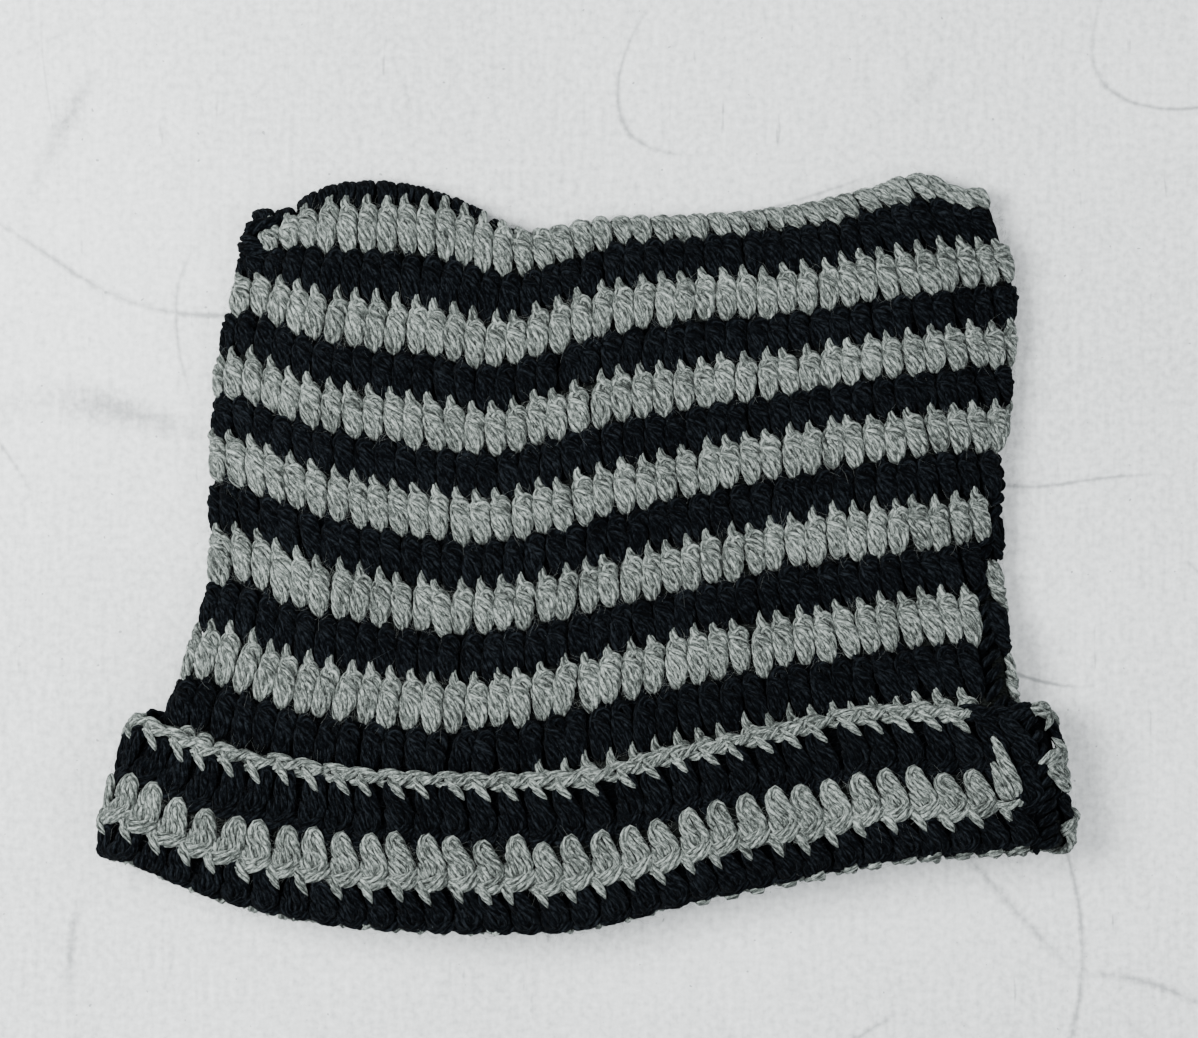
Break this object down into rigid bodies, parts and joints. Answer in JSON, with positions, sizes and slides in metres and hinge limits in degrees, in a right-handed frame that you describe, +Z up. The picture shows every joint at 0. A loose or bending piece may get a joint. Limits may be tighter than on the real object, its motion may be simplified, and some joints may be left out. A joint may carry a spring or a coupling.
{
  "type": "crocheted beanie",
  "caption": "Square-topped striped crocheted beanie lying flat with its cuff turned up; it opens at the mouth to take a head.",
  "frame": {"origin": "on the table, under the middle of the hat's bounding box", "axes": "+X across the hat, along the rows; +Y from the mouth to the crown; +Z up from the table"},
  "size_m": [0.3196, 0.2478, 0.0298],
  "materials": {
    "grey_yarn": "bulky twisted yarn, matt and slightly fuzzy",
    "black_yarn": "bulky twisted yarn, matt and slightly fuzzy"
  },
  "bodies": {
    "root": {"back_cuff_row_16_grey": "grey_yarn", "back_cuff_row_17_black": "black_yarn", "back_cuff_row_18_grey": "grey_yarn", "back_cuff_row_19_black": "black_yarn", "back_hem_chain": "grey_yarn", "back_row_02_grey": "grey_yarn", "back_row_03_black": "black_yarn", "back_row_04_grey": "grey_yarn", "back_row_05_black": "black_yarn", "back_row_06_grey": "grey_yarn", "back_row_07_black": "black_yarn", "back_row_08_grey": "grey_yarn", "back_row_09_black": "black_yarn", "back_row_10_grey": "grey_yarn", "back_row_11_black": "black_yarn", "back_row_12_grey": "grey_yarn", "back_row_13_black": "black_yarn", "back_row_14_grey": "grey_yarn", "back_row_15_black": "black_yarn", "crown_row_black": "black_yarn", "crown_row_grey": "grey_yarn", "front_cuff_row_16_black": "black_yarn", "front_cuff_row_17_grey": "grey_yarn", "front_cuff_row_18_black": "black_yarn", "front_hem_chain": "grey_yarn", "front_row_02_black": "black_yarn", "front_row_03_grey": "grey_yarn", "front_row_04_black": "black_yarn", "front_row_05_grey": "grey_yarn", "front_row_06_black": "black_yarn", "front_row_07_grey": "grey_yarn", "front_row_08_black": "black_yarn", "front_row_09_grey": "grey_yarn", "front_row_10_black": "black_yarn", "front_row_11_grey": "grey_yarn", "front_row_12_black": "black_yarn", "front_row_13_grey": "grey_yarn", "front_row_14_black": "black_yarn", "front_row_15_grey": "grey_yarn", "left_side_seam": "black_yarn", "right_side_seam": "black_yarn"}
  },
  "joints": []
}
